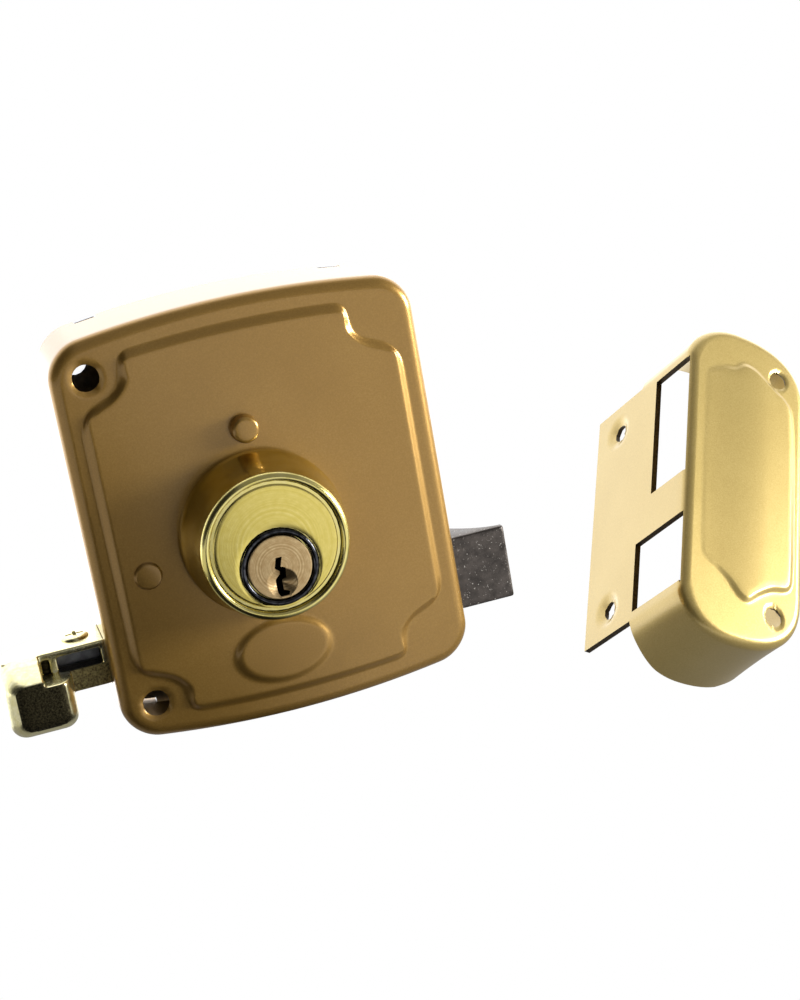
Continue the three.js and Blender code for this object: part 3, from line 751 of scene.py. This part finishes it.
def cylinder_face(brass):
    """A round cap on the cylinder whose plug hole is off its middle.

    Rings run from the hole's wall, across the face as circles whose centre slides from the plug's
    to the cylinder's, to the rounded outer edge and back behind the face.
    """
    hole, outer, slope = 8.3, 13.0, 3.75

    def circle(t, r, y):
        """A circle whose middle is t of the way from the plug's axis to the cylinder's."""
        x, z = (p + (c - p) * t for p, c in zip(PLUG, CYLINDER))
        return x, z, r, y

    inner = [(8.05, -34.7), (8.05, -35.7), (8.15, -35.86), (hole, -35.9)]
    rounding = [(12.3, -35.9), (12.85, -35.65), (13.05, -35.4), (13.08, -34.4)]
    circles = [circle(0, r, y) for r, y in inner]
    circles += [circle(t, hole + slope * t, -35.95) for t in np.linspace(0, 1, 12)[1:]]
    circles += [circle(1, r, y) for r, y in rounding]
    circles += [circle(t, hole + (outer - hole) * t, -34.4) for t in (1.0, 0.5, 0.0)]
    points, faces = stacked_circles(circles)
    return put("cylinder_face", points, faces, "lock_case", brass)


# Right and left side of the keyway from its top down, from the plug's middle.
WARD_RIGHT = [
    (0.70, 2.1), (0.1, 0.15), (1.05, -0.2), (0.92, -2.5), (0.14, -2.75), (0.0, -4.8), (1.1, -5.2),
    (0.85, -5.9),
]
WARD_LEFT = [
    (-0.55, 2.1), (-1.12, 0.0), (-0.24, -0.75), (-0.28, -1.5), (-1.25, -2.5), (-1.3, -5.1),
    (-1.1, -5.5), (-0.9, -5.9),
]


def plug_face(brass):
    """The plug: rings from the keyway out to its edge and down its side.

    Each side of the keyway is followed by height; a stadium just round it comes first, then
    circles. A cone is sunk about the keyway's lower half, and the keyway's walls run in 6 mm.
    """
    half = KEYWAY_SIDE
    fall = np.linspace(0, 1, half)
    sides = []
    for ward in (WARD_RIGHT, WARD_LEFT):
        w = np.array(ward)
        length = np.concatenate([[0], np.cumsum(np.linalg.norm(np.diff(w, axis=0), axis=1))])
        at = fall * length[-1]
        sides.append(np.stack([np.interp(at, length, w[:, k]) for k in (0, 1)], 1))
    key = np.vstack([sides[0], sides[1][::-1]])
    reach = np.where(np.arange(2 * half) < half, 1.0, -1.0)
    z = key[:, 1]
    ends = np.clip(1 - np.abs((z + 1.9) / 4.35) ** 4, 0, 1) ** 0.5
    stadium = np.stack([reach * 1.6 * (0.35 + 0.65 * ends), -1.9 + (z + 1.9) * 1.06], 1)
    swept = math.pi * (fall * 0.98 + 0.01)
    turn = np.concatenate([math.pi / 2 - swept, -math.pi / 2 - swept])
    circle = np.stack([np.cos(turn), np.sin(turn)], 1)
    rows = [key * 0.98, key * 0.98, key]
    deep = [6.0, 3.0, 0.08]
    for t in np.linspace(0, 1, 9):
        rows.append(key * (1.0 - t) + stadium * t)
        deep.append(0.0)
    for t in np.linspace(0, 1, 26)[1:]:
        rows.append(stadium * (1 - t) + circle * (PLUG_RADIUS - 0.2) * t)
        deep.append(0.0)
    for r, y in ((PLUG_RADIUS - 0.08, 0.05), (PLUG_RADIUS, 0.2), (PLUG_RADIUS, 8.0)):
        rows.append(circle * r)
        deep.append(y)
    plan = np.array(rows)
    y = np.broadcast_to(PLUG_FRONT + np.array(deep)[:, None], plan.shape[:2]).copy()
    away = np.hypot(plan[..., 0] + 0.1, plan[..., 1] + 3.2)
    sunk = 1.3 * np.clip((3.0 - away) / 3.0, 0, 1)
    y = np.maximum(y, PLUG_FRONT + sunk)
    points = np.stack([plan[..., 0] + PLUG[0], y, plan[..., 1] + PLUG[1]], -1).reshape(-1, 3)
    faces = grid_faces(len(rows), 2 * half, around=True)
    faces = outward(points, faces, (PLUG[0], -30, PLUG[1]))
    first, last = list(range(2 * half)), list(range(len(points) - 2 * half, len(points)))
    piece = put(
        "plug_face", points, faces, "plug", brass, ["cylinder_plug"],
        extra=[facing(points, first, -1), facing(points, last, 1)],
    )
    # The keyway's walls and floor take the second material, near black: painted shade inside the
    # keyway.
    for face in piece.data.polygons:
        x, y, z = np.array(face.center) / MM
        inside = math.hypot(x - PLUG[0], z - PLUG[1]) < PLUG_RADIUS - 0.3
        wall_or_floor = abs(face.normal[1]) < 0.3 or y > -32.0
        face.material_index = int(inside and wall_or_floor and y < -29.0)
    return piece


def facing(points, loop, side):
    """The loop of corners as one face whose normal has this sign along Y."""
    p = points[loop]
    n = np.roll(p, -1, 0)
    area = np.sum(p[:, 2] * n[:, 0] - p[:, 0] * n[:, 2])
    return loop if area * side > 0 else loop[::-1]


# ---- latch and pull --------------------------------------------------------------------
def loft(sections):
    """Points and quads of a stack of closed sections, with a face over each end."""
    points = np.vstack(sections)
    count = len(sections[0])
    faces = grid_faces(len(sections), count, around=True)
    if closed_volume(points, faces, count) < 0:
        faces = faces[:, ::-1]
        caps = [list(range(count)), list(range(len(points) - count, len(points)))[::-1]]
    else:
        caps = [list(range(count))[::-1], list(range(len(points) - count, len(points)))]
    return points, faces, caps


def closed_volume(points, faces, count):
    """Six times the volume inside a loft, its ends closed to their middles."""
    total = volume(points - points.mean(0), faces)
    for loop, sign in ((range(count), -1), (range(len(points) - count, len(points)), 1)):
        p = points[list(loop)] - points.mean(0)
        n = np.roll(p, -1, 0)
        total += sign * np.einsum("ij,ij->", np.cross(p, n), np.broadcast_to(p.mean(0), p.shape))
    return total


def shrink(outline, inset):
    """A closed outline moved inwards along its mean normals."""
    run = np.roll(outline, -1, 0) - np.roll(outline, 1, 0)
    normal = np.stack([run[:, 1], -run[:, 0]], 1) / np.linalg.norm(run, axis=1)[:, None]
    x, y = outline.T
    area = np.sum(x * np.roll(y, -1) - y * np.roll(x, -1))
    return outline - inset * normal * (1 if area > 0 else -1)


def upright(plan, z):
    """An outline in x and y as a section at height z."""
    return np.column_stack([plan, np.full(len(plan), z)])


def latch_head(casting):
    """The latch bolt: a plan outline, scooped behind a thin tip, raised with rounded edges."""
    front, back, tip, tail = (LATCH[k] for k in ("front", "back", "tip", "tail"))
    r = 0.7
    flank = [(tail, front + 0.2)] + [(x, front) for x in np.linspace(tail + 0.3, tip - r, 40)]
    nose = [
        (tip - r + r * math.sin(t), front + r - r * math.cos(t)) for t in np.linspace(0.2, 1.57, 6)
    ]
    scoop = bezier((tip, front + 1.8), (tip - 6, front + 2.4), (CASE["side"] + 3, back - 4),
                   (CASE["side"], back), count=36)
    rear = [(x, back) for x in np.linspace(CASE["side"], tail, 16)]
    plan = np.vstack([flank, nose, scoop, rear, [(tail, back - 4), (tail, back - 8)]])
    steps = [(0.45, 0.0), (0.22, 0.06), (0.08, 0.2), (0.0, 0.45)]
    levels = [(inset, LATCH["low"] + h) for inset, h in steps]
    levels += [(0.0, z) for z in np.linspace(LATCH["low"], LATCH["high"], 12)[1:-1]]
    levels += [(inset, LATCH["high"] - h) for inset, h in reversed(steps)]
    points, faces, caps = loft([upright(shrink(plan, inset), z) for inset, z in levels])
    return put(
        "latch_head", points, faces, "latch", casting, ["latch_bolt"],
        extra=caps, sharp=45,
    )


def solid(name, sections):
    """A plain object from a loft, for joining to or cutting from a casting."""
    points, faces, caps = loft(sections)
    mesh = bpy.data.meshes.new(name)
    mesh.from_pydata((points * MM).tolist(), [], faces.tolist() + caps)
    made = bpy.data.objects.new(name, mesh)
    bpy.context.collection.objects.link(made)
    return made


def block(x0, x1, y0, y1, z0, z1, r=0.4):
    """Sections of an upright bar with rounded corners."""
    plan = rounded(x0, x1, y0, y1, r)
    return [upright(plan, z) for z in (z0, z1)]


def boolean(piece, others, operation):
    """Join the other objects to the piece or cut them from it, one after another."""
    for other in others:
        join = piece.modifiers.new(other.name, "BOOLEAN")
        join.operation = operation
        join.object = other
        join.solver = "EXACT"


def finish(piece, others, sharp, materials, node_name):
    """Settle a casting, drop the objects used on it, give it its materials, hang it on the latch's
    body and hide the CAD node it replaces.
    """
    settle(piece, sharp)
    for other in others:
        bpy.data.objects.remove(other)
    piece.data.materials.clear()
    for one in materials:
        piece.data.materials.append(one)
    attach(piece, "latch")
    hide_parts(node_name)


def knob_sections():
    """Rounded rectangles along Y, from the knob's flat front to its back.

    Behind the front comes a step out, then a quarter ellipse to the full size; the top slopes up
    towards the back, where the edge is rounded in.
    """
    sections = []
    front, length, step = -23.0, 5.8, 0.12
    for t in np.linspace(0, math.pi / 2, 10):
        swell = step + (1 - step) * math.sin(t) if t > 0 else 0.0
        y = front + length - length * math.cos(t)
        x0, x1 = -54.9 - 4.3 * swell, -48.3 + 3.1 * swell
        z0, z1 = -31.4 - 4.3 * swell, -23.9 + 0.42 * (y - front) + 0.3 * swell
        sections.append((rounded(x0, x1, z0, z1, 1.6 + 1.4 * swell), y))
    for inset, y in ((0.0, -15.0), (0.3, -13.0), (1.0, -12.0), (2.2, -11.5)):
        outline = rounded(-59.2 + inset, -45.2 - inset, -35.7 + inset, -20.5 - inset * 0.3, 2.6)
        sections.append((outline, y))
    return [np.column_stack([p[:, 0], np.full(len(p), y), p[:, 1]]) for p, y in sections]


def pull_casting(gilt, dark_gilt_shade, sand):
    """The finger pull: knob and stem joined, slots sunk, then every edge softened as cast."""
    end = np.linspace(0, math.pi / 2, 14)
    back = np.column_stack([-49.6 - 8.8 * np.sin(end), -4.0 - 8.8 * (1 - np.cos(end))])
    front = [(-58.4, -14.6), (-58.0, -15.0), (-24.5, -15.0), (-24.5, -4.0)]
    plan = np.vstack([back, front])
    pull = solid("pull_casting", [upright(plan, z) for z in (-30.0, -20.5)])
    knob = solid("knob", knob_sections())
    ways = {
        "front slot": block(-47.2, -38.2, -16.5, -10.0, -25.4, -21.9),
        "notch beside the slot": block(-50.4, -48.8, -16.5, -13.2, -25.2, -21.9),
        "way for the latch bar": block(-54.3, -20.0, -10.75, -5.5, -28.35, -22.15, 0.3),
        "hole for the screw": block(-43.8, -40.8, -9.7, -6.7, -40.0, -10.0, 1.4),
        "room over the slot": block(-50.9, -38.0, -26.0, -15.0, -24.9, -15.0, 0.1),
    }
    cut = [solid(name, sections) for name, sections in ways.items()]
    boolean(pull, [knob], "UNION")
    boolean(pull, cut, "DIFFERENCE")
    even = pull.modifiers.new("even", "REMESH")
    even.mode = "VOXEL"
    even.voxel_size = 0.24 * MM
    soft = pull.modifiers.new("soft", "SMOOTH")
    soft.factor = 0.5
    soft.iterations = 5
    finish(pull, [knob, *cut], 60, [gilt, dark_gilt_shade, sand], "pull_handle")
    mesh = pull.data
    middle = np.empty(len(mesh.polygons) * 3)
    mesh.polygons.foreach_get("center", middle)
    x, y, z = middle.reshape(-1, 3).T / MM
    normal = np.empty(len(mesh.polygons) * 3)
    mesh.polygons.foreach_get("normal", normal)
    # The knob's flat front and the inside of the slot take the near-black copy: a painted dark
    # reflection on the knob's face and painted shade in the slot. The face below the slot takes the
    # sandy copy.
    ahead = normal.reshape(-1, 3)[:, 1] < -0.8
    sunk = (y > -14.5) & (y < -9.5) & (z > -25.6) & (z < -21.7) & (x > -50.6) & (x < -38.0)
    low_face = ahead & (y > -15.3) & (y < -14.5) & (z < -25.3) & (x > -46.0)
    knob_face = ahead & (y < -22.4)
    index = np.where(low_face, 2, sunk | knob_face).astype(int)
    mesh.polygons.foreach_set("material_index", index)


def screw_head(gilt):
    """The pull's screw: a flattened dome turned about Z with a cross cut in it, over its shank."""
    x, y, base = -42.3, -8.8, -20.7
    turn = np.linspace(0, TAU, 48, endpoint=False)
    circle = np.column_stack([np.cos(turn), np.sin(turn)])
    dome = [
        (2.85 * math.cos(t) ** 0.5, base + 0.2 + 0.8 * math.sin(t))
        for t in np.linspace(0, 1.45, 9)
    ]
    profile = [(1.25, -29.6), (1.25, base), (2.8, base), *dome]
    head = solid("screw_head", [upright(circle * r + (x, y), z) for r, z in profile])
    long, narrow = 1.9, 0.35
    cross = [
        solid("bar", block(x - a, x + a, y - b, y + b, base + 0.4, base + 3, 0.1))
        for a, b in ((long, narrow), (narrow, long))
    ]
    boolean(head, cross, "DIFFERENCE")
    finish(head, cross, 30, [gilt], "pull_screw")


# ---- stage and light -------------------------------------------------------------------
# The camera sees floor and surround as plain white. All other rays see patches of glow: the
# direction a patch lies in, where along it the light starts and stops growing, and its strength.
# Along it means the dot product with it, of the place in metres on the floor, and of the ray's
# own direction in the surround. The patch ahead never falls below FLOOR_AHEAD_LEAST.
GLOW_LEAST = 0.01
FLOOR_BEYOND = ((0, 1, 0), 0.03, 0.12, 2.4)
FLOOR_AHEAD = ((0, -1, 0), 0.03, 0.09, 1.0)
FLOOR_AHEAD_LEAST = 0.32
FLOOR_RIGHT = ((1, 0, 0), -0.01, 0.04, 1.0)
FLOOR_LEFT = ((-1, 0, 0), 0.12, 0.18, 0.7)
FLOOR_UNDER = ((-1, 0.8, 0), 0.0, 0.02, 0.3)
FLOOR_UNDER_FROM = ((0, 1, 0), -0.04, -0.02, 1.0)
SURROUND_BEHIND = ((0, 1, 0), -0.05, 0.55, 1.9)
SURROUND_AHEAD = ((1, 0, 0.3), -0.09, 0.06, 0.22)
FLOOR_HALF = 12.0
FLOOR_GAP = 0.0005
KEY_PLACE, KEY_SIZE, KEY_POWER = (0.95, -0.3, 0.02), 0.4, 18.0
KEY_AIM = (0, -0.02, 0)


def glow(tree, place, way, low, high, strength):
    """Light that rises smoothly from GLOW_LEAST to strength as the place goes along the way."""
    along = node(tree, "ShaderNodeVectorMath", {0: place, 1: way}, operation="DOT_PRODUCT")
    inputs = {
        "Value": along.outputs["Value"], "From Min": low, "From Max": high,
        "To Min": GLOW_LEAST, "To Max": strength,
    }
    rise = node(tree, "ShaderNodeMapRange", inputs, interpolation_type="SMOOTHSTEP")
    return rise.outputs["Result"]


def floor_card():
    """The floor's material: it reflects nothing and only glows."""
    material, tree, shader = blank_material("pale_card", base_color=(0, 0, 0, 1), roughness=1.0)
    shader.inputs["Specular IOR Level"].default_value = 0.0
    shader.inputs["Emission Color"].default_value = (1, 1, 1, 1)
    place = node(tree, "ShaderNodeTexCoord").outputs["Object"]
    ahead = maths(tree, "MAXIMUM", glow(tree, place, *FLOOR_AHEAD), FLOOR_AHEAD_LEAST)
    lit = maths(tree, "MULTIPLY", glow(tree, place, *FLOOR_RIGHT), ahead)
    for patch in (FLOOR_LEFT, FLOOR_BEYOND):
        lit = maths(tree, "MAXIMUM", lit, glow(tree, place, *patch))
    under, under_from = glow(tree, place, *FLOOR_UNDER), glow(tree, place, *FLOOR_UNDER_FROM)
    lit = maths(tree, "MAXIMUM", lit, maths(tree, "MULTIPLY", under, under_from))
    seen = node(tree, "ShaderNodeLightPath").outputs["Is Camera Ray"]
    inputs = {"Factor": seen, "A": lit, "B": 1.0}
    level = node(tree, "ShaderNodeMix", inputs, data_type="FLOAT").outputs["Result"]
    feed(tree, shader, emission_strength=level)
    return material


def surround():
    """The world: plain white to the camera, brighter behind the lock to everything else."""
    world = bpy.data.worlds.new("studio")
    world.use_nodes = True
    bpy.context.scene.world = world
    tree = world.node_tree
    tree.nodes.clear()
    out = node(tree, "ShaderNodeOutputWorld")
    place = node(tree, "ShaderNodeTexCoord").outputs["Generated"]
    behind, ahead = glow(tree, place, *SURROUND_BEHIND), glow(tree, place, *SURROUND_AHEAD)
    strength = maths(tree, "ADD", behind, ahead)
    white = (1, 1, 1, 1)
    around = node(tree, "ShaderNodeBackground", {"Color": white, "Strength": strength})
    plain = node(tree, "ShaderNodeBackground", {"Color": white, "Strength": 1.0})
    seen = node(tree, "ShaderNodeLightPath").outputs["Is Camera Ray"]
    inputs = {"Fac": seen, 1: around.outputs[0], 2: plain.outputs[0]}
    mix = node(tree, "ShaderNodeMixShader", inputs)
    tree.links.new(mix.outputs[0], out.inputs["Surface"])


def key_light():
    """One square area light to the right of the case, facing it."""
    lamp = bpy.data.lights.new("key", "AREA")
    lamp.size = KEY_SIZE
    lamp.energy = KEY_POWER
    light = bpy.data.objects.new("key", lamp)
    light.location = KEY_PLACE
    way = Vector(KEY_AIM) - Vector(KEY_PLACE)
    light.rotation_euler = way.to_track_quat("-Z", "Y").to_euler()
    bpy.context.collection.objects.link(light)


def stage():
    """A wide floor just under the lowest point, the surround, and the key light."""
    low, size = cad_box[0][2] - FLOOR_GAP, FLOOR_HALF
    mesh = bpy.data.meshes.new("floor")
    corners = [(-size, -size, low), (size, -size, low), (size, size, low), (-size, size, low)]
    mesh.from_pydata(corners, [], [(0, 1, 2, 3)])
    mesh.materials.append(floor_card())
    floor = bpy.data.objects.new("floor", mesh)
    bpy.context.collection.objects.link(floor)
    surround()
    key_light()
    bpy.context.scene.view_settings.view_transform = "Standard"


# ---- the whole lock --------------------------------------------------------------------
def main():
    """Make the camera, the pieces and the stage, and give the CAD's own nodes their finishes."""
    make_camera()
    paint = bronze_enamel("gold_bronze_enamel", ("967332", "A67F3A", "B9944C"))
    # The keeper's enamel is the case's made lighter: painted light, for the brighter light its
    # front catches.
    keeper_lit_paint = bronze_enamel("keeper_enamel_painted_lighter", ("AF9652", "C0A761", "D0B978"))
    edge = sheared_edge()
    brass = polished_brass()
    face_brass = turned_brass(
        "faced_brass", CYLINDER, [(0.3, "DAC662"), (0.8, "F0DE88")],
        pitch=0.5, depth=0.004, rough=0.22,
    )
    plug_brass = turned_brass(
        "turned_plug_brass", PLUG, [(0.3, "B4905F"), (0.8, "F0D7A4")],
        pitch=0.3, depth=0.01, rough=0.3,
    )
    black, zinc, wire = dark_steel(), zinc_steel(), spring_steel()
    # soot here is the keyway's near-black painted shade.
    gilt, casting, shade_in_keyway = gilt_casting(), bolt_casting(), painted_keyway_shade()
    # Near black: painted shade and painted dark reflection for the pull, not the casting's own
    # colour.
    dark_gilt_shade = rough_gilt("gilt_painted_shade", 1.0, "1C1A14", "5E573F")
    sand = rough_gilt("gilt_casting_sand", 0.5, "5E5030", "CDBF85")

    cover_skin(paint)
    keeper_skin(keeper_lit_paint, edge)
    post_heads(paint)
    cylinder_pieces(brass, face_brass, [plug_brass, shade_in_keyway], black)
    latch_head(casting)
    pull_casting(gilt, dark_gilt_shade, sand)
    screw_head(gilt)

    pins = range(1, 6)
    finishes = {
        paint: ["cover_shell", "forend_plate", "upper_post", "lower_post"],
        keeper_lit_paint: ["keeper"],
        brass: ["cylinder_collar", "cylinder_body", "chamber_cover"]
        + [f"key_pin_{i}" for i in pins],
        plug_brass: ["cylinder_plug"],
        black: ["bezel_ring"],
        gilt: ["pull_handle", "pull_screw"],
        casting: ["latch_bolt", "deadbolt"],
        wire: ["latch_spring"] + [f"pin_spring_{i}" for i in pins],
        zinc: [
            "back_plate", "latch_bar", "latch_pin", "bar_bracket", "bolt_slider", "bolt_rivet_1",
            "bolt_rivet_2", "plug_crank", "cylinder_screw_left", "cylinder_screw_right",
        ] + [f"driver_pin_{i}" for i in pins],
    }
    for material, names in finishes.items():
        for name in names:
            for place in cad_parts[name].material_slots:
                place.material = material

    stage()


main()
